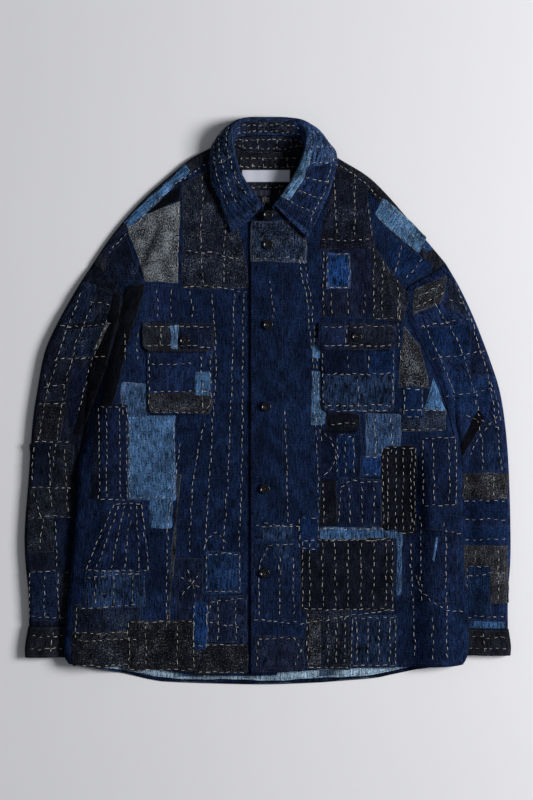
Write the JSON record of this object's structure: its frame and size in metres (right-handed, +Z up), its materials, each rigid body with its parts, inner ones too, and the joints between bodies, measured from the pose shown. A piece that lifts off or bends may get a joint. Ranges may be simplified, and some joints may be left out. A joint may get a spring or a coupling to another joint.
{
  "type": "patched boro jacket, buttoned and laid flat",
  "caption": "Patched boro work jacket in indigo cotton with rows of white running stitches, buttoned up and laid flat on its back with the sleeves folded down beside it.",
  "frame": {"origin": "middle of the jacket's outline, on the surface it lies on", "axes": "+X towards the wearer's left, +Y from hem to collar, +Z up from the surface"},
  "size_m": [0.7303, 0.8515, 0.0369],
  "materials": {
    "boro_cloth": "matte",
    "button": "gloss",
    "label_tape": "satin"
  },
  "bodies": {
    "root": {"back_panel": "boro_cloth", "back_yoke": "boro_cloth", "front_left": "boro_cloth", "front_right": "boro_cloth", "sleeve_left": "boro_cloth", "sleeve_right": "boro_cloth", "cuff_left": "boro_cloth", "cuff_right": "boro_cloth", "collar_fall": "boro_cloth", "collar_stand": "boro_cloth", "pocket_left": "boro_cloth", "pocket_right": "boro_cloth", "pocket_flap_left": "boro_cloth", "pocket_flap_right": "boro_cloth", "button_1": "button", "button_2": "button", "button_3": "button", "button_4": "button", "button_5": "button", "button_stand": "button", "button_pocket_left": "button", "button_pocket_right": "button", "neck_label": "label_tape", "size_tab": "boro_cloth", "care_tab": "label_tape"}
  },
  "joints": []
}
